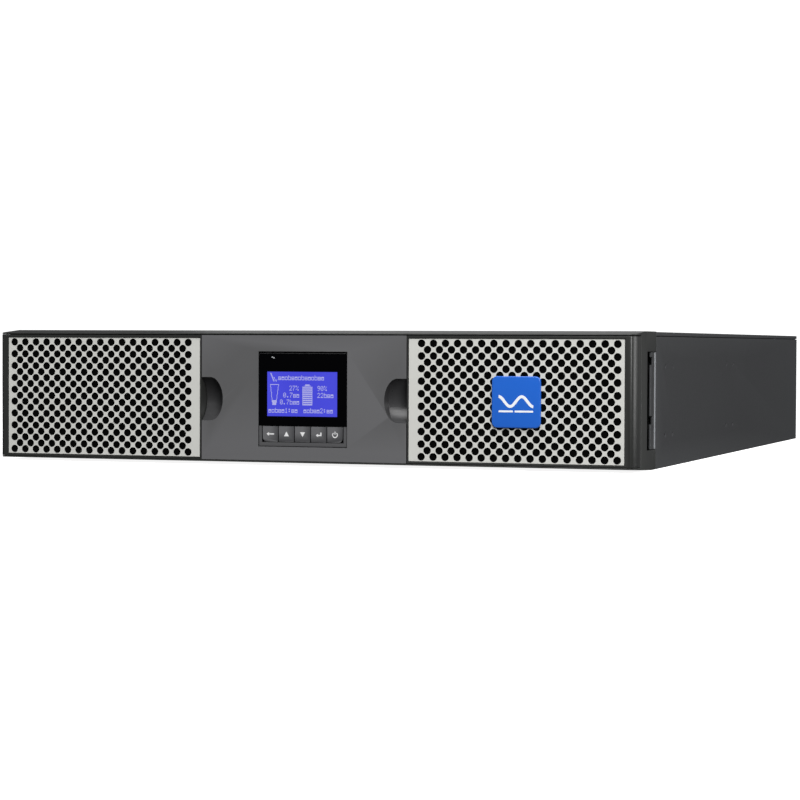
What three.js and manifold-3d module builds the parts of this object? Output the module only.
// Rack-height uninterruptible power supply: a steel chassis two rack units high with a moulded front bezel,
// two snap-off grille covers, a display that tilts out, a battery drawer and a rear panel of sockets and fans.
// Millimetres, +Z up, front towards -Y. The origin is at the middle of the underside.
import * as THREE from "three";
import { mergeVertices } from "three/addons/utils/BufferGeometryUtils.js";
import Module from "manifold-3d";

const wasm = await Module();
wasm.setup();

// ---- Overall sizes ----
const width = 440;
const height = 88.1;
const depth = 605;
const badgeProud = 1.4; // how far the badge stands out in front of the bezel face
const rearProud = 4; // how far thumbscrew heads stand out behind the rear panel

// ---- Clearances and stock ----
const clear = 0.3; // between pieces that stay still against each other
const seam = 0.4; // visible line between fascia and covers
const sheet = 1.2; // steel sheet
const skin = 2.5; // moulded wall
const board = 1.6; // circuit board

// ---- Bezel ----
const bezelDepth = 57;
const roofStrip = 2.8; // moulded strip over the covers
const floorStrip = 3.1;
const floorRise = 2.2; // how much higher the floor strip's front edge is than its underside
const floorSlope = 48;
const lipDrop = 2.1; // how much lower the roof strip's front edge is than its top
const slopeLength = 28;
const cornerRadius = 3.5; // across the front
const cornerSweep = 9; // back along the side
const coverDepth = 15;
const coverTopGap = 0.5;
const panelHalf = 70.9;
const panelDepth = 16;
const postInset = 6; // from the fascia's edge to the shell's inner posts
const slotFront = 32;
const slotLow = 12.8;
const slotTopInset = 12.9;
const linerThick = 1.2; // inner wall behind the side slot

// ---- Finger recesses beside the covers ----
const recessWidth = 15;
const recessHeight = 28.5;
const recessSag = 9;
const recessRound = 9.1;

// ---- Grille sheets and badge ----
const grilleSheet = 1;
const grilleSet = 0.4; // how far the sheet lies behind the cover's front
const grilleRim = 0.8;
const grilleTopRim = 2;
const grilleLowRim = 1.3;
const grilleOuterRim = 7.1;
const windowMargin = 3.4;
const latchReach = 6;
const badgeSize = 31.9;
const badgeHeight = 32.5;
const badgeDrop = 0.6; // below the middle of the grille sheet
const badgeOffset = 143.8;
const badgeRound = 3.5;
const badgeBevel = 0.6;

// ---- Display module ----
const moduleHalf = 30.3;
const moduleLow = 12.9;
const moduleHigh = 73.3;
const moduleSet = 0.3;
const moduleGap = 0.4;
const moduleTopGap = 1; // room for the top edge as it swings in
const hingeBack = 2.3; // pivot behind the module's face
const hingeDrop = 1.6; // pivot below the module's top edge
const tiltAngle = 45;
const housingWall = 1.5;
const windowThick = 0.9;
const windowLow = 26.2;
const trunnionRadius = 1.2;
const trunnionLength = 3.6;
const lcdCentre = -0.6;
const lcdSideMargin = 4.7; // from the module's side to the panel
const lcdLowMargin = 4.4; // from the window's lower edge to the panel
const lcdHighMargin = 10.6;
const lcdThick = 4.4;
const keyCount = 5;
const keyPitch = 11.2;
const keyGap = 0.6;
const keyLow = 15.7;
const keyHeight = 10.1;
const keyDepth = 4.3;
const keyTravel = 0.8;
const keyRound = 3;

// ---- Chassis ----
const lidDrop = 0.3; // the lid lies this much below the bezel's top
const lidLip = 2.7;
const intakeCount = 4;
const sideHoleRadius = 2;
const sideHoleRows = [21.4, 65.8];
const sideHoleDepths = [84, 106.5, 288, 313.5];
const flangeSet = 0.5; // rack flange strip behind the outer face of the bezel's side
const linerSet = 5.5; // depth of the side slot
const flangeFront = 44;

// ---- Battery drawer ----
const bayGap = 2.6; // between the partition and the drawer
const drawerSlide = 0.5; // between the drawer and the bezel's liner
const latchRoom = 2; // between the cover's hooks and the drawer's front
const drawerLift = 0.5; // between the bezel's floor strip and the drawer
const drawerHeadroom = 1.5;
const packHeadroom = 6.5;
const rearRoom = 99.5; // between the wall behind the drawer and the rear panel
const dockRoom = 28.9; // between the drawer's end and that wall
const packInset = 2;
const packGap = 4;
const handleReach = 17;
const plugWidth = 30;
const plugHeight = 20;
const plugDepth = 8;

// ---- Rear panel ----
const fanSize = 70;
const fanDepth = 25;
const fanPitch = 76;
const fanWall = 2; // least wall between the duct and the frame's side
const hubRadius = 15;
const bladeCount = 7;
const bladeGap = 1.3;
const flangeThick = 1.5;
const socketDepth = 20;
const pairPitch = 34;
const socketRise = 34;

const frontY = -depth / 2 + badgeProud;
const rearFace = depth - badgeProud - rearProud; // rear panel's outer face, behind the bezel's front
const halfWidth = width / 2;
const linerOuter = halfWidth - linerSet;
const roofLow = height - roofStrip;
const coverLow = floorStrip + clear;
const coverHigh = roofLow - coverTopGap;
const coverInner = panelHalf + seam;
const recessMiddle = (coverLow + coverHigh) / 2 - 1;
const lidHigh = height - lidDrop;
const sheetHigh = lidHigh - sheet - clear; // top of upright sheets under the lid
const sheetSide = halfWidth - sheet - clear;
const bulkheadFront = bezelDepth + 2 * clear;
const bulkheadBack = bulkheadFront + sheet;
const hinge = { back: moduleSet + hingeBack, up: moduleHigh - hingeDrop };
const skirtRadius = hinge.up - moduleLow;
const plateFront = moduleSet + windowThick + clear;
const lcd = {
  x0: lcdCentre - moduleHalf + lcdSideMargin,
  x1: lcdCentre + moduleHalf - lcdSideMargin,
  z0: windowLow + lcdLowMargin,
  z1: moduleHigh - lcdHighMargin,
};
const fanBore = fanSize / 2 - fanWall;
const bayInner = panelHalf + clear;
const bayBack = rearFace - rearRoom;
const drawerInner = bayInner + sheet + bayGap;
const drawerOuter = linerOuter - linerThick - drawerSlide;
const drawerFront = coverDepth + latchReach + latchRoom;
const drawerBack = bayBack - sheet - dockRoom;
const drawerLow = floorStrip + clear + drawerLift;
const drawerHigh = sheetHigh - drawerHeadroom;
const packHigh = drawerHigh - packHeadroom;
const fanMiddle = height / 2;

// ---- Shape helpers: f is the distance behind the bezel's front face ----

/** The closed solid of a three.js geometry. */
function solid(geometry) {
  const bare = geometry.clone();
  bare.deleteAttribute("normal");
  bare.deleteAttribute("uv");
  const merged = mergeVertices(bare, 1e-4);
  return new wasm.Manifold(
    new wasm.Mesh({
      numProp: 3,
      vertProperties: new Float32Array(merged.attributes.position.array),
      triVerts: new Uint32Array(merged.index.array),
    }),
  );
}

/** A box between two corners. */
function block([x0, f0, z0], [x1, f1, z1]) {
  const box = new THREE.BoxGeometry(Math.abs(x1 - x0), f1 - f0, z1 - z0);
  box.translate((x0 + x1) / 2, frontY + (f0 + f1) / 2, (z0 + z1) / 2);
  return solid(box);
}

/** A shape drawn as seen from the front, x and z, given thickness from f0 to f1. */
function plate(shape, f0, f1, curveSegments = 12) {
  const cut = new THREE.ExtrudeGeometry(shape, { depth: f1 - f0, bevelEnabled: false, curveSegments });
  cut.rotateX(Math.PI / 2);
  cut.translate(0, frontY + f1, 0);
  return solid(cut);
}

/** A shape drawn as seen from above, x and f, raised from z0 to z1. */
function column(shape, z0, z1, curveSegments = 10) {
  const cut = new THREE.ExtrudeGeometry(shape, { depth: z1 - z0, bevelEnabled: false, curveSegments });
  cut.translate(0, frontY, z0);
  return solid(cut);
}

/** A shape drawn as seen from the side, f and z, drawn out from x0 to x1. */
function rail(shape, x0, x1, curveSegments = 12) {
  const cut = new THREE.ExtrudeGeometry(shape, { depth: x1 - x0, bevelEnabled: false, curveSegments });
  const turn = new THREE.Matrix4().makeBasis(
    new THREE.Vector3(0, 1, 0),
    new THREE.Vector3(0, 0, 1),
    new THREE.Vector3(1, 0, 0),
  );
  cut.applyMatrix4(turn);
  cut.translate(x0, frontY, 0);
  return solid(cut);
}

/** A cylinder along Y. */
function barrel(radius, x, z, f0, f1, sides = 24) {
  const drum = new THREE.CylinderGeometry(radius, radius, f1 - f0, sides);
  drum.translate(x, frontY + (f0 + f1) / 2, z);
  return solid(drum);
}

/** A cylinder along X. */
function axle(radius, f, z, x0, x1, sides = 24) {
  const drum = new THREE.CylinderGeometry(radius, radius, Math.abs(x1 - x0), sides);
  drum.rotateZ(Math.PI / 2);
  drum.translate((x0 + x1) / 2, frontY + f, z);
  return solid(drum);
}

/** A cylinder along Z. */
function pillar(radius, x, f, z0, z1, sides = 24) {
  const drum = new THREE.CylinderGeometry(radius, radius, z1 - z0, sides);
  drum.rotateX(Math.PI / 2);
  drum.translate(x, frontY + f, (z0 + z1) / 2);
  return solid(drum);
}

/** A closed outline through straight points. */
function outline(points) {
  return new THREE.Shape(points.map(([a, b]) => new THREE.Vector2(a, b)));
}

/** A rectangle with rounded corners about a middle. */
function rounded(x, z, w, h, r) {
  const edge = new THREE.Shape();
  edge.moveTo(x - w / 2 + r, z - h / 2);
  edge.absarc(x + w / 2 - r, z - h / 2 + r, r, -Math.PI / 2, 0);
  edge.absarc(x + w / 2 - r, z + h / 2 - r, r, 0, Math.PI / 2);
  edge.absarc(x - w / 2 + r, z + h / 2 - r, r, Math.PI / 2, Math.PI);
  edge.absarc(x - w / 2 + r, z - h / 2 + r, r, Math.PI, 1.5 * Math.PI);
  edge.closePath();
  return edge;
}

/** The same solid on the other side of the middle plane. */
function mirrored(made) {
  return made.mirror([1, 0, 0]);
}

const unit = new THREE.Group();
unit.name = "uninterruptible_power_supply";

/** Adds a named piece to the unit. */
function add(name, made, material) {
  const mesh = made.getMesh();
  const geometry = new THREE.BufferGeometry();
  geometry.setAttribute("position", new THREE.BufferAttribute(new Float32Array(mesh.vertProperties), 3));
  geometry.setIndex(new THREE.BufferAttribute(new Uint32Array(mesh.triVerts), 1));
  geometry.computeVertexNormals();
  const piece = new THREE.Mesh(geometry, material);
  piece.name = name;
  unit.add(piece);
}

/** A painted, moulded or metal finish. */
function finish(color, roughness, metalness = 0) {
  return new THREE.MeshStandardMaterial({ color, roughness, metalness });
}

const charcoalPaint = finish(0x3b3c3e, 0.55);
const shellPlastic = finish(0x333331, 0.45);
const fasciaPlastic = finish(0x5e5e5f, 0.5);
const silverPaint = finish(0xc9c9c5, 0.4, 0.3);
const badgeBlue = finish(0x2159c4, 0.35);
const blackPlastic = finish(0x141416, 0.4);
const blackGloss = finish(0x060608, 0.08);
const lcdBlue = finish(0x4a50e0, 0.3);
const keyPlastic = finish(0x606062, 0.45);
const zincSteel = finish(0xa8abb0, 0.4, 0.9);
const greenBoard = finish(0x1f5a36, 0.6);
const aluminium = finish(0xb9bcc0, 0.4, 0.9);
const ferrite = finish(0x3a3a3c, 0.7);
const copper = finish(0xb5693a, 0.4, 0.8);
const packBlue = finish(0x2c4a73, 0.5);
const capSleeve = finish(0x1c2438, 0.4);

// ---- Chassis ----

/** Folded tray: floor and two sides, with the rack bracket holes. */
function chassisTray() {
  const top = lidHigh - lidLip - clear;
  const outer = block([-halfWidth, bezelDepth + clear, 0], [halfWidth, rearFace, top]);
  const inner = block(
    [-halfWidth + sheet, bezelDepth, sheet],
    [halfWidth - sheet, rearFace + 1, top + 1],
  );
  let tray = outer.subtract(inner);
  for (const z of sideHoleRows) {
    for (const f of sideHoleDepths) {
      tray = tray.subtract(axle(sideHoleRadius, f, z, -halfWidth - 1, halfWidth + 1, 10));
    }
  }
  return tray;
}

/** Lid with a lip folded down each side. */
function topCover() {
  const outer = block([-halfWidth, bezelDepth + clear, lidHigh - lidLip], [halfWidth, rearFace, lidHigh]);
  const inner = block(
    [-halfWidth + sheet, bezelDepth, lidHigh - lidLip - 1],
    [halfWidth - sheet, rearFace + 1, lidHigh - sheet],
  );
  return outer.subtract(inner);
}

/** Front wall of the chassis: open to the battery bay, the air intake and the display. */
function frontBulkhead() {
  let wall = block([-sheetSide, bulkheadFront, sheet + clear], [sheetSide, bulkheadBack, sheetHigh]);
  const opening = (x0, z0, x1, z1) => block([x0, bulkheadFront - 1, z0], [x1, bulkheadBack + 1, z1]);
  wall = wall.subtract(opening(drawerInner - 1, drawerLow - 0.5, drawerOuter + 1, drawerHigh + 0.5));
  wall = wall.subtract(opening(-20, 30, 20, 50));
  const intakeStart = coverInner + windowMargin;
  const intakeSpan = (sheetSide - 10 - intakeStart) / intakeCount;
  for (let i = 0; i < intakeCount; i += 1) {
    const x = -intakeStart - i * intakeSpan;
    wall = wall.subtract(opening(x - intakeSpan + 5, 10, x, height - 12));
  }
  return wall;
}

/** Wall beside and behind the battery bay. */
function bayPartition() {
  const bend = outline([
    [bayInner, bulkheadBack + clear],
    [bayInner + sheet, bulkheadBack + clear],
    [bayInner + sheet, bayBack - sheet],
    [sheetSide, bayBack - sheet],
    [sheetSide, bayBack],
    [bayInner, bayBack],
  ]);
  return column(bend, sheet + clear, sheetHigh);
}

/** Steel strip with two notches, seen through the slot in the bezel's side. */
function rackFlange() {
  const outer = halfWidth - flangeSet;
  const low = slotLow + clear;
  const high = height - slotTopInset - clear;
  const strip = block([outer - sheet, flangeFront, low], [outer, bezelDepth, high]);
  const notch = (z0, z1) => block([outer - sheet - 1, flangeFront - 1, z0], [outer + 1, flangeFront + 5, z1]);
  return strip.subtract(notch(29, 34.2)).subtract(notch(66.8, 71.7));
}

// ---- Bezel ----

/** Outline of the whole bezel seen from above, with its rounded front corners. */
function bezelPlan(back) {
  const plan = new THREE.Shape();
  plan.moveTo(-halfWidth, back);
  plan.lineTo(-halfWidth, cornerSweep);
  plan.absellipse(-halfWidth + cornerRadius, cornerSweep, cornerRadius, cornerSweep, Math.PI, 1.5 * Math.PI);
  plan.absellipse(halfWidth - cornerRadius, cornerSweep, cornerRadius, cornerSweep, -Math.PI / 2, 0);
  plan.lineTo(halfWidth, back);
  plan.closePath();
  return plan;
}

/** Moulded frame: roof with a sloped front, floor, cheeks with a lined side slot, and two inner posts. */
function bezelShell() {
  const cheek = halfWidth - skin;
  let shell = column(bezelPlan(bezelDepth), 0, height);
  shell = shell.subtract(block([-cheek, -1, floorStrip], [cheek, bezelDepth + 1, roofLow]));
  shell = shell.subtract(
    block([-halfWidth - 1, -1, floorStrip], [halfWidth + 1, coverDepth + clear, roofLow]),
  );
  const slope = outline([
    [-1, height - lipDrop],
    [0, height - lipDrop],
    [slopeLength, height],
    [slopeLength, height + 1],
    [-1, height + 1],
  ]);
  shell = shell.subtract(rail(slope, -halfWidth - 1, halfWidth + 1));
  const rise = outline([
    [-1, -1],
    [floorSlope, -1],
    [floorSlope, 0],
    [0, floorRise],
    [-1, floorRise],
  ]);
  shell = shell.subtract(rail(rise, -halfWidth - 1, halfWidth + 1));
  const postOuter = panelHalf - postInset;
  for (const side of [-1, 1]) {
    const slot = [
      [side * (cheek - 1), slotFront, slotLow],
      [side * (halfWidth + 1), bezelDepth + 1, height - slotTopInset],
    ];
    shell = shell.subtract(block(slot[0], slot[1]));
    const liner = [
      [side * (linerOuter - linerThick), slotFront - skin, floorStrip - 1],
      [side * linerOuter, bezelDepth, roofLow + 1],
    ];
    const step = [
      [side * (linerOuter - linerThick), slotFront - skin, floorStrip - 1],
      [side * (cheek + 1), slotFront, roofLow + 1],
    ];
    shell = shell.add(block(liner[0], liner[1])).add(block(step[0], step[1]));
    const post = [
      [side * (postOuter - skin), panelDepth + clear, floorStrip - 1],
      [side * postOuter, bezelDepth, roofLow + 1],
    ];
    shell = shell.add(block(post[0], post[1]));
  }
  return shell;
}

/** The space a finger reaches into: a D seen from the front, with a floor hollowed like a trough. */
function fingerSpace() {
  const low = recessMiddle - recessHeight / 2;
  const high = recessMiddle + recessHeight / 2;
  const bend = panelHalf - recessWidth + recessRound;
  const dee = new THREE.Shape();
  dee.moveTo(panelHalf + 1, low);
  dee.lineTo(panelHalf + 1, high);
  dee.lineTo(bend, high);
  dee.absellipse(bend, recessMiddle, recessRound, recessHeight / 2, Math.PI / 2, 1.5 * Math.PI);
  dee.closePath();
  const half = recessHeight / 2;
  const radius = (half * half + recessSag * recessSag) / (2 * recessSag);
  const trough = axle(radius, recessSag - radius, recessMiddle, 0, panelHalf + 2, 48);
  return plate(dee, -1, recessSag + 1, 16).intersect(trough);
}

/** Fascia between the covers: display opening, hinge lugs and a finger recess at each edge. */
function centrePanel() {
  const outer = block([-panelHalf, 0, coverLow], [panelHalf, panelDepth, coverHigh]);
  const hollow = block(
    [-panelHalf + skin, skin, coverLow + skin],
    [panelHalf - skin, panelDepth + 1, coverHigh - skin],
  );
  let panel = outer.subtract(hollow);
  const pocketIn = panelHalf - recessWidth - skin;
  const openHalf = moduleHalf + moduleGap;
  const lugTop = hinge.up + trunnionRadius + 2.4;
  const space = fingerSpace();
  for (const side of [-1, 1]) {
    panel = panel.add(
      block(
        [side * pocketIn, 0, recessMiddle - recessHeight / 2 - skin],
        [side * panelHalf, recessSag + skin, recessMiddle + recessHeight / 2 + skin],
      ),
    );
    panel = panel.add(
      block(
        [side * openHalf, skin / 2, hinge.up - trunnionRadius - 2],
        [side * (openHalf + trunnionLength + 2), hinge.back + trunnionRadius + 2, lugTop],
      ),
    );
    panel = panel.subtract(side > 0 ? space : mirrored(space));
  }
  const bore = openHalf + trunnionLength + clear;
  panel = panel.subtract(axle(trunnionRadius + clear, hinge.back, hinge.up, -bore, bore, 16));
  return panel.subtract(
    block([-openHalf, -1, moduleLow - moduleGap], [openHalf, panelDepth + 1, moduleHigh + moduleTopGap]),
  );
}

/** Right-hand cover: a face frame that turns the corner, hollow behind, with two latch hooks. */
function grilleCover() {
  let cover = column(bezelPlan(coverDepth), coverLow, coverHigh);
  cover = cover.subtract(block([-halfWidth - 1, -1, 0], [coverInner, coverDepth + 1, height]));
  cover = cover.subtract(
    block(
      [coverInner + skin, skin, coverLow + skin],
      [halfWidth - skin, coverDepth + 1, coverHigh - skin],
    ),
  );
  const face = grilleBox();
  cover = cover.subtract(
    block(
      [face.x0 - clear, -1, face.z0 - clear],
      [face.x1 + clear, grilleSet + grilleSheet + clear, face.z1 + clear],
    ),
  );
  cover = cover.subtract(
    block(
      [face.x0 + windowMargin, -1, face.z0 + windowMargin],
      [face.x1 - windowMargin, skin + 1, face.z1 - windowMargin],
    ),
  );
  const hookX = (coverInner + halfWidth) / 2;
  for (const z of [coverLow + 0.4, coverHigh - skin + 0.4]) {
    cover = cover.add(block([hookX - 5, coverDepth - 6, z], [hookX + 5, coverDepth + latchReach, z + 1.7]));
  }
  return cover;
}

/** Where the right-hand grille sheet lies, seen from the front. */
function grilleBox() {
  return {
    x0: coverInner + grilleRim + clear,
    x1: halfWidth - grilleOuterRim,
    z0: coverLow + clear + grilleLowRim,
    z1: coverHigh - grilleTopRim,
  };
}

/** Right-hand grille sheet, kept plain: its holes are finer than its job here needs. */
function grillePlate() {
  const face = grilleBox();
  return block([face.x0, grilleSet, face.z0], [face.x1, grilleSet + grilleSheet, face.z1]);
}

/** Badge with rounded corners and a bevelled edge, in front of the right-hand grille. */
function badge() {
  const face = grilleBox();
  const middle = (face.z0 + face.z1) / 2 - badgeDrop;
  const back = grilleSet - clear;
  const base = rounded(badgeOffset, middle, badgeSize, badgeHeight, badgeRound);
  const cap = rounded(
    badgeOffset,
    middle,
    badgeSize - 2 * badgeBevel,
    badgeHeight - 2 * badgeBevel,
    badgeRound - badgeBevel,
  );
  const lower = plate(base, -badgeProud + badgeBevel, back, 5);
  return lower.add(plate(cap, -badgeProud, back, 5));
}

// ---- Display module ----

/** A sector seen from the side: front face, arc about the pivot and sloped back. */
function sector(face, radius, angle, top) {
  const start = Math.asin((face - hinge.back) / radius);
  const edge = new THREE.Shape();
  edge.moveTo(face, top);
  edge.lineTo(face, hinge.up - radius * Math.cos(start));
  edge.absarc(hinge.back, hinge.up, radius, start - Math.PI / 2, angle - Math.PI / 2);
  return edge;
}

/** Tilting housing: front plate, cheeks, arc skirt with a stop lip, and two trunnions. */
function displayHousing() {
  const end = THREE.MathUtils.degToRad(tiltAngle + 2);
  const outer = sector(moduleSet, skirtRadius, end, windowLow - clear);
  outer.lineTo(hinge.back + 6, moduleHigh);
  outer.lineTo(plateFront, moduleHigh);
  outer.lineTo(plateFront, windowLow - clear);
  let housing = rail(outer, -moduleHalf, moduleHalf, 16);
  const lipEnd = skirtRadius + 2;
  const lip = outline([
    [hinge.back + (skirtRadius - 1) * Math.sin(end - 0.02), hinge.up - (skirtRadius - 1) * Math.cos(end - 0.02)],
    [hinge.back + lipEnd * Math.sin(end - 0.02), hinge.up - lipEnd * Math.cos(end - 0.02)],
    [hinge.back + lipEnd * Math.sin(end), hinge.up - lipEnd * Math.cos(end)],
    [hinge.back + (skirtRadius - 1) * Math.sin(end), hinge.up - (skirtRadius - 1) * Math.cos(end)],
  ]);
  housing = housing.add(rail(lip, -moduleHalf + 6, moduleHalf - 6));
  const inner = sector(plateFront + 2.2, skirtRadius - housingWall, end + 0.2, moduleHigh - housingWall);
  inner.lineTo(hinge.back + skirtRadius + 10, moduleHigh - housingWall);
  const inside = moduleHalf - housingWall;
  housing = housing.subtract(rail(inner, -inside, inside, 16));
  housing = housing.subtract(
    block(
      [lcd.x0 - clear, -1, lcd.z0 - clear],
      [lcd.x1 + clear, plateFront + 3, lcd.z1 + clear],
    ),
  );
  const keysHalf = (keyCount * keyPitch) / 2 + clear;
  housing = housing.subtract(
    block([-keysHalf, -1, keyLow - clear], [keysHalf, plateFront + 3, windowLow - clear / 2]),
  );
  for (const side of [-1, 1]) {
    const reach = moduleHalf + moduleGap + trunnionLength;
    housing = housing.add(
      axle(trunnionRadius, hinge.back, hinge.up, side * (moduleHalf - 1), side * reach, 16),
    );
  }
  return housing;
}

/** Glossy window over the upper part of the module. */
function displayWindow() {
  const edge = new THREE.Shape();
  edge.moveTo(moduleSet, windowLow);
  edge.lineTo(moduleSet + windowThick, windowLow);
  edge.lineTo(moduleSet + windowThick, moduleHigh);
  edge.lineTo(moduleSet + 0.6, moduleHigh);
  edge.lineTo(moduleSet, moduleHigh - 0.6);
  edge.closePath();
  return rail(edge, -moduleHalf, moduleHalf);
}

/** Liquid crystal panel with its backlight. */
function lcdPanel() {
  return block([lcd.x0, plateFront, lcd.z0], [lcd.x1, plateFront + lcdThick, lcd.z1]);
}

/** Circuit board behind the panel and the keys. */
function displayBoard() {
  const front = plateFront + lcdThick + clear;
  const side = moduleHalf - housingWall - 2;
  const foot = moduleLow + housingWall + 1.2;
  return block([-side, front, foot], [side, front + board, moduleHigh - 4]);
}

/** One key: a cap with a retaining flange above and below. The end keys have one round corner. */
function keyCap(index) {
  const x = (index - (keyCount - 1) / 2) * keyPitch;
  const half = (keyPitch - keyGap) / 2;
  const left = index === 0 ? keyRound : 0.6;
  const right = index === keyCount - 1 ? keyRound : 0.6;
  const top = keyLow + keyHeight;
  const cap = new THREE.Shape();
  cap.moveTo(x - half + left, keyLow);
  cap.lineTo(x + half - right, keyLow);
  cap.absarc(x + half - right, keyLow + right, right, -Math.PI / 2, 0);
  cap.lineTo(x + half, top);
  cap.lineTo(x - half, top);
  cap.absarc(x - half + left, keyLow + left, left, Math.PI, 1.5 * Math.PI);
  const back = moduleSet + keyDepth;
  const flangeFace = plateFront + 2.2 + clear;
  const flange = block([x - half, flangeFace, keyLow - 1], [x + half, back, top + 0.9]);
  return plate(cap, moduleSet, back, 4).add(flange);
}

// ---- Battery drawer ----

/** Folded drawer: floor, sides and front plate. */
function batteryTray() {
  const outer = block([drawerInner, drawerFront, drawerLow], [drawerOuter, drawerBack, drawerHigh]);
  const inner = block(
    [drawerInner + sheet, drawerFront + sheet, drawerLow + sheet],
    [drawerOuter - sheet, drawerBack + 1, drawerHigh + 1],
  );
  return outer.subtract(inner);
}

/** Sealed cell pack that fills the drawer. */
function batteryPack() {
  return block(
    [drawerInner + sheet + packInset, drawerFront + sheet + packGap, drawerLow + sheet + clear],
    [drawerOuter - sheet - packInset, drawerBack - packGap, packHigh],
  );
}

/** Cell management board on top of the pack. */
function bmsBoard() {
  const low = packHigh + clear;
  return block(
    [drawerInner + 14, drawerFront + 20, low],
    [drawerOuter - 14, drawerFront + 140, low + board],
  );
}

/** Bail across the drawer's front plate. */
function trayHandle() {
  const middle = (drawerInner + drawerOuter) / 2;
  const z = height / 2;
  const front = drawerFront - clear - handleReach;
  const outer = block([middle - 45, front, z - 6], [middle + 45, drawerFront - clear, z + 6]);
  const inner = block([middle - 39, front + 5, z - 7], [middle + 39, drawerFront + 1, z + 7]);
  return outer.subtract(inner);
}

/** Plug at the back of the pack, with a tongue for the bay's socket. */
function batteryPlug() {
  const x = (drawerInner + drawerOuter) / 2;
  const z = height / 2;
  const front = drawerBack - packGap + clear;
  const base = block(
    [x - plugWidth / 2, front, z - plugHeight / 2],
    [x + plugWidth / 2, front + plugDepth, z + plugHeight / 2],
  );
  const tongue = block([x - 10, front + plugDepth - 1, z - 5], [x + 10, front + 2 * plugDepth, z + 5]);
  return base.add(tongue);
}

/** Socket on the wall behind the drawer, around the plug's tongue. */
function dockSocket() {
  const x = (drawerInner + drawerOuter) / 2;
  const z = height / 2;
  const front = drawerBack - packGap + 2 * clear + plugDepth;
  const back = bayBack - sheet - clear;
  const body = block(
    [x - plugWidth / 2, front, z - plugHeight / 2],
    [x + plugWidth / 2, back, z + plugHeight / 2],
  );
  return body.subtract(block([x - 10.5, front - 1, z - 5.5], [x + 10.5, front + plugDepth + 2, z + 5.5]));
}

// ---- Power electronics, on the side away from the battery ----

const boardLow = sheet + 6;
const boardFront = bulkheadBack + 60;
const boardBack = rearFace - 60;
const partLow = boardLow + board + clear; // underside of everything that stands on the board
const sinkX = -halfWidth + 30;
const sinkFins = 8;
const finPitch = 6;
const sinkGap = 20;
const sinkMargin = 31;
const canRadius = 15;
const canX = sinkX + sinkFins * finPitch + 7 + canRadius;
const chokeBack = rearFace - 100;

/** Main power board on the tray's floor. */
function mainBoard() {
  return block([-sheetSide + 8, boardFront, boardLow], [bayInner - 8, boardBack, boardLow + board]);
}

/** One of two finned heat sinks that stand in line on the board. */
function heatSink(index) {
  const length = (boardBack - boardFront - 2 * sinkMargin - sinkGap) / 2;
  const f0 = boardFront + sinkMargin + index * (length + sinkGap);
  const f1 = f0 + length;
  let sink = block([sinkX, f0, partLow], [sinkX + sinkFins * finPitch, f1, partLow + 6]);
  for (let i = 0; i < sinkFins; i += 1) {
    const x = sinkX + i * finPitch;
    sink = sink.add(block([x + 1, f0, partLow + 5], [x + 3, f1, partLow + 46]));
  }
  return sink;
}

/** Storage capacitor can, counted forward from the choke. */
function capacitor(index) {
  return pillar(canRadius, canX, chokeBack - 120 - 40 * index, partLow, partLow + 48, 16);
}

/** Wound choke: a ring lying on the board. */
function toroid(x, f, outer, inner) {
  const ring = pillar(outer, x, f, partLow, partLow + 24, 20);
  return ring.subtract(pillar(inner, x, f, partLow - 1, partLow + 25, 20));
}

/** Transformer: core with a winding bulging from both sides. */
function transformer(x, f) {
  const core = block([x - 30, f - 22, partLow], [x + 30, f + 22, partLow + 54]);
  return core.add(block([x - 20, f - 32, partLow + 10], [x + 20, f + 32, partLow + 44]));
}

/** Control board standing on edge beside the partition. */
function controlBoard() {
  return block(
    [bayInner - 6, bulkheadBack + 80, sheet + 14],
    [bayInner - 6 + board, bulkheadBack + 280, sheetHigh - 6],
  );
}

// ---- Rear panel ----

const fanPlaces = [halfWidth - 44, halfWidth - 44 - fanPitch];
const inletX = -halfWidth + 26;
const pairPlaces = [0, 1, 2, 3].map((i) => inletX + 36 + i * pairPitch);
const largeX = pairPlaces[3] + 40;
const cardX = largeX + 52;
const rowLow = height / 2 - socketRise / 2;
const rowHigh = height / 2 + socketRise / 2;

/** Places and cut-out sizes of everything set into the rear panel. */
function rearCutouts() {
  const cuts = [
    { x: inletX, z: rowHigh, w: 31, h: 24 },
    { x: largeX, z: rowLow, w: 31, h: 24 },
    { x: largeX, z: rowHigh, w: 31, h: 24 },
    { x: cardX, z: rowHigh, w: 40, h: 20 },
    { x: cardX - 18, z: rowLow - 4, w: 12, h: 11 },
    { x: cardX + 14, z: rowLow - 4, w: 18, h: 9 },
    { x: inletX, z: rowLow + 4, w: 20, h: 8 },
  ];
  for (const x of pairPlaces) {
    cuts.push({ x, z: height / 2, w: 28, h: socketRise + 22 });
  }
  return cuts;
}

/** Rear wall with a cut-out for each socket and a round one for each fan. */
function rearPanel() {
  const front = rearFace - sheet;
  let wall = block([-sheetSide, front, sheet + clear], [sheetSide, rearFace, sheetHigh]);
  for (const { x, z, w, h } of rearCutouts()) {
    wall = wall.subtract(block([x - w / 2, front - 1, z - h / 2], [x + w / 2, rearFace + 1, z + h / 2]));
  }
  for (const x of fanPlaces) {
    wall = wall.subtract(barrel(fanBore, x, fanMiddle, front - 1, rearFace + 1, 40));
  }
  return wall;
}

/** Flange and body of a part that is pushed through a rear cut-out. */
function socketBody(x, z, w, h, bodyDepth = socketDepth) {
  const flange = block(
    [x - w / 2 - 1.8, rearFace + clear, z - h / 2 - 1.8],
    [x + w / 2 + 1.8, rearFace + clear + flangeThick, z + h / 2 + 1.8],
  );
  const body = block(
    [x - w / 2 + clear, rearFace - bodyDepth, z - h / 2 + clear],
    [x + w / 2 - clear, rearFace + clear + 1, z + h / 2 - clear],
  );
  return flange.add(body);
}

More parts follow.
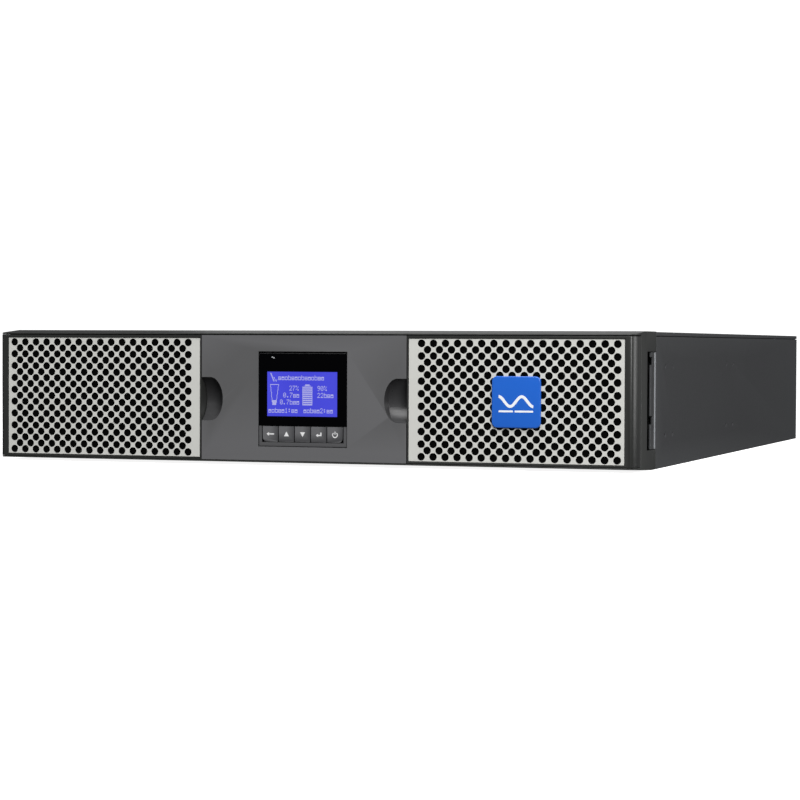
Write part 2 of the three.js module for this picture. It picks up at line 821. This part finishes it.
/** Rectangle with two corners cut, as mains connectors have. */
function connectorOutline(x, z, w, h, cut) {
  return outline([
    [x - w / 2, z - h / 2],
    [x + w / 2, z - h / 2],
    [x + w / 2, z + h / 2 - cut],
    [x + w / 2 - cut, z + h / 2],
    [x - w / 2 + cut, z + h / 2],
    [x - w / 2, z + h / 2 - cut],
  ]);
}

/** The space cut from a body for one outlet: a moat round a boss that has three slots. */
function outletSpace(x, z, w, h, slot) {
  const face = rearFace + clear + flangeThick + 1;
  const floor = rearFace - 14;
  const moat = plate(connectorOutline(x, z, w, h, 4.5), floor, face);
  const boss = plate(connectorOutline(x, z, w - 5, h - 5, 3.4), floor - 1, face - 2);
  let space = moat.subtract(boss);
  for (const [dx, dz] of [[-7, -2], [7, -2], [0, 2.5]]) {
    space = space.add(
      block(
        [x + dx - 1.1, floor, z + dz - slot / 2],
        [x + dx + 1.1, face, z + dz + slot / 2],
      ),
    );
  }
  return space;
}

/** Two outlets one above the other in one moulding. */
function outletPair(x) {
  let body = socketBody(x, height / 2, 28, socketRise + 22);
  for (const z of [rowLow, rowHigh]) {
    body = body.subtract(outletSpace(x, z, 26, 19, 4));
  }
  return body;
}

/** One high-current outlet. */
function largeOutlet(z) {
  return socketBody(largeX, z, 31, 24).subtract(outletSpace(largeX, z, 29, 21.5, 5.5));
}

/** Mains inlet: an open well with three blades. */
function powerInlet() {
  const face = rearFace + clear + flangeThick + 1;
  const floor = rearFace - 16;
  let inlet = socketBody(inletX, rowHigh, 31, 24);
  inlet = inlet.subtract(plate(connectorOutline(inletX, rowHigh, 28, 20.5, 4.5), floor, face));
  for (const [dx, dz] of [[-7, -2.5], [7, -2.5], [0, 4]]) {
    inlet = inlet.add(
      block(
        [inletX + dx - 1, floor - 1, rowHigh + dz - 2.5],
        [inletX + dx + 1, rearFace - 1, rowHigh + dz + 2.5],
      ),
    );
  }
  return inlet;
}

/** Network card: faceplate, board edge and one jack. */
function networkCard() {
  let card = socketBody(cardX, rowHigh, 40, 20, 3);
  card = card.add(block([cardX - 19, rearFace - 90, rowHigh - 8], [cardX + 19, rearFace - 2, rowHigh - 8 + board]));
  card = card.add(block([cardX - 8, rearFace - 18, rowHigh - 7.5], [cardX + 8, rearFace - 2, rowHigh + 7]));
  const ear = block(
    [cardX - 28, rearFace + clear, rowHigh - 6],
    [cardX + 28, rearFace + clear + flangeThick, rowHigh + 6],
  );
  card = card.add(ear);
  for (const side of [-1, 1]) {
    card = card.subtract(barrel(2.2, cardX + side * 25, rowHigh, rearFace, rearFace + 3, 12));
  }
  return card.subtract(
    block(
      [cardX - 6, rearFace - 14, rowHigh - 4.5],
      [cardX + 6, rearFace + 3, rowHigh + 4.5],
    ),
  );
}

/** Captive screw at one end of the network card. */
function thumbscrew(x) {
  const face = rearFace + clear + flangeThick + clear;
  const shank = barrel(1.5, x, rowHigh, rearFace + clear, face + 0.5, 10);
  return shank.add(barrel(3.6, x, rowHigh, face, rearFace + rearProud, 12));
}

/** Square data socket. */
function usbPort() {
  const x = cardX - 18;
  const z = rowLow - 4;
  const shell = socketBody(x, z, 12, 11, 16);
  const well = block([x - 4.4, rearFace - 10, z - 4], [x + 4.4, rearFace + 3, z + 4]);
  const tongue = block([x - 2.8, rearFace - 11, z - 1.6], [x + 2.8, rearFace - 1, z + 1.6]);
  return shell.subtract(well.subtract(tongue));
}

/** Serial connector with a D-shaped shell. */
function serialPort() {
  const x = cardX + 14;
  const z = rowLow - 4;
  const body = socketBody(x, z, 18, 9, 12);
  const dee = outline([[x - 8.2, z + 3.9], [x - 6.8, z - 3.9], [x + 6.8, z - 3.9], [x + 8.2, z + 3.9]]);
  return body.add(plate(dee, rearFace, rearFace + rearProud - 0.2));
}

/** Pluggable block for the remote stop contacts. */
function contactTerminal() {
  const z = rowLow + 4;
  let block4 = socketBody(inletX, z, 20, 8, 12);
  for (let i = 0; i < 4; i += 1) {
    const x = inletX - 7.5 + i * 5;
    block4 = block4.subtract(block([x - 1.4, rearFace - 6, z - 1.6], [x + 1.4, rearFace + 3, z + 1.6]));
  }
  return block4;
}

/** Earthing screw with a flanged head. */
function groundScrew() {
  const z = rowLow - 10;
  const head = barrel(4.5, inletX, z, rearFace + clear, rearFace + clear + 1, 16);
  return head.add(barrel(3, inletX, z, rearFace + clear, rearFace + clear + 3, 6));
}

/** Fan frame: square with a round duct and a four-armed spider. */
function fanFrame(x) {
  const face = rounded(x, fanMiddle, fanSize, fanSize, 5);
  const duct = new THREE.Path();
  duct.absarc(x, fanMiddle, fanBore, 0, 2 * Math.PI);
  face.holes.push(duct);
  const back = rearFace - sheet - clear;
  const front = back - fanDepth;
  let frame = plate(face, front, back, 16);
  frame = frame.add(barrel(hubRadius - 1, x, fanMiddle, front, front + 2.5));
  for (const [w, h] of [[fanBore + 1, 2], [2, fanBore + 1]]) {
    frame = frame.add(block([x - w, front, fanMiddle - h], [x + w, front + 2.5, fanMiddle + h]));
  }
  return frame;
}

/** Hub with pitched blades. */
function fanRotor(x) {
  const back = rearFace - sheet - clear;
  const front = back - fanDepth + 4;
  let rotor = barrel(hubRadius, x, fanMiddle, front, back - 3, 28);
  const reach = fanBore - bladeGap;
  for (let i = 0; i < bladeCount; i += 1) {
    const blade = new THREE.BoxGeometry(reach - hubRadius + 3, 1.4, 18);
    blade.rotateX(THREE.MathUtils.degToRad(48));
    blade.translate((reach + hubRadius - 3) / 2, 0, 0);
    blade.rotateY((i * 2 * Math.PI) / bladeCount);
    blade.translate(x, frontY + (front + back - 3) / 2, fanMiddle);
    rotor = rotor.add(solid(blade));
  }
  return rotor.intersect(barrel(reach, x, fanMiddle, front, back - 3, 36));
}

/** Wire guard: rings on two crossed bars. */
function fanGuard(x) {
  const f0 = rearFace + clear;
  const f1 = f0 + 1.6;
  const corner = fanSize / 2 - 4;
  let guard = null;
  for (const radius of [23, 16, 9, 2].map((inset) => fanBore - inset)) {
    const ring = new THREE.Shape();
    ring.absarc(x, fanMiddle, radius + 0.8, 0, 2 * Math.PI);
    const eye = new THREE.Path();
    eye.absarc(x, fanMiddle, radius - 0.8, 0, 2 * Math.PI);
    ring.holes.push(eye);
    const hoop = plate(ring, f0, f1, 12);
    guard = guard ? guard.add(hoop) : hoop;
  }
  for (const side of [-1, 1]) {
    const bar = outline([
      [x - corner - 0.8, fanMiddle - side * (corner - 0.8)],
      [x - corner + 0.8, fanMiddle - side * (corner + 0.8)],
      [x + corner + 0.8, fanMiddle + side * (corner - 0.8)],
      [x + corner - 0.8, fanMiddle + side * (corner + 0.8)],
    ]);
    guard = guard.add(plate(bar, f0, f1));
  }
  return guard;
}

// ---- Assembly ----

add("chassis_tray", chassisTray(), charcoalPaint);
add("top_cover", topCover(), charcoalPaint);
add("front_bulkhead", frontBulkhead(), charcoalPaint);
add("bay_partition", bayPartition(), zincSteel);
add("rear_panel", rearPanel(), charcoalPaint);
add("rack_flange_right", rackFlange(), zincSteel);
add("rack_flange_left", mirrored(rackFlange()), zincSteel);

add("bezel_shell", bezelShell(), shellPlastic);
add("centre_panel", centrePanel(), fasciaPlastic);
add("right_cover", grilleCover(), shellPlastic);
add("right_grille", grillePlate(), silverPaint);
add("badge", badge(), badgeBlue);
add("left_cover", mirrored(grilleCover()), shellPlastic);
add("left_grille", mirrored(grillePlate()), silverPaint);

add("display_housing", displayHousing(), fasciaPlastic);
add("display_window", displayWindow(), blackGloss);
add("lcd_panel", lcdPanel(), lcdBlue);
add("display_board", displayBoard(), greenBoard);
["key_escape", "key_up", "key_down", "key_enter", "key_power"].forEach((name, index) => {
  add(name, keyCap(index), keyPlastic);
});

add("battery_tray", batteryTray(), zincSteel);
add("battery_pack", batteryPack(), packBlue);
add("bms_board", bmsBoard(), greenBoard);
add("tray_handle", trayHandle(), blackPlastic);
add("battery_plug", batteryPlug(), blackPlastic);
add("dock_socket", dockSocket(), blackPlastic);

add("main_board", mainBoard(), greenBoard);
add("control_board", controlBoard(), greenBoard);
add("heat_sink_front", heatSink(0), aluminium);
add("heat_sink_rear", heatSink(1), aluminium);
add("transformer", transformer(-70, boardFront + 71), ferrite);
add("boost_choke", toroid(-20, boardFront + 151, 30, 14), copper);
add("filter_choke", toroid(-70, chokeBack, 24, 11), copper);
for (const index of [0, 1, 2]) {
  add(`capacitor_${index + 1}`, capacitor(index), capSleeve);
}

add("power_inlet", powerInlet(), blackPlastic);
pairPlaces.forEach((x, index) => {
  add(`outlet_pair_${index + 1}`, outletPair(x), blackPlastic);
});
add("large_outlet_lower", largeOutlet(rowLow), blackPlastic);
add("large_outlet_upper", largeOutlet(rowHigh), blackPlastic);
add("network_card", networkCard(), zincSteel);
add("card_screw_right", thumbscrew(cardX + 25), zincSteel);
add("card_screw_left", thumbscrew(cardX - 25), zincSteel);
add("usb_port", usbPort(), zincSteel);
add("serial_port", serialPort(), zincSteel);
add("contact_terminal", contactTerminal(), blackPlastic);
add("ground_screw", groundScrew(), zincSteel);
fanPlaces.forEach((x, index) => {
  add(`fan_frame_${index + 1}`, fanFrame(x), blackPlastic);
  add(`fan_rotor_${index + 1}`, fanRotor(x), blackPlastic);
  add(`fan_guard_${index + 1}`, fanGuard(x), zincSteel);
});

export default unit;
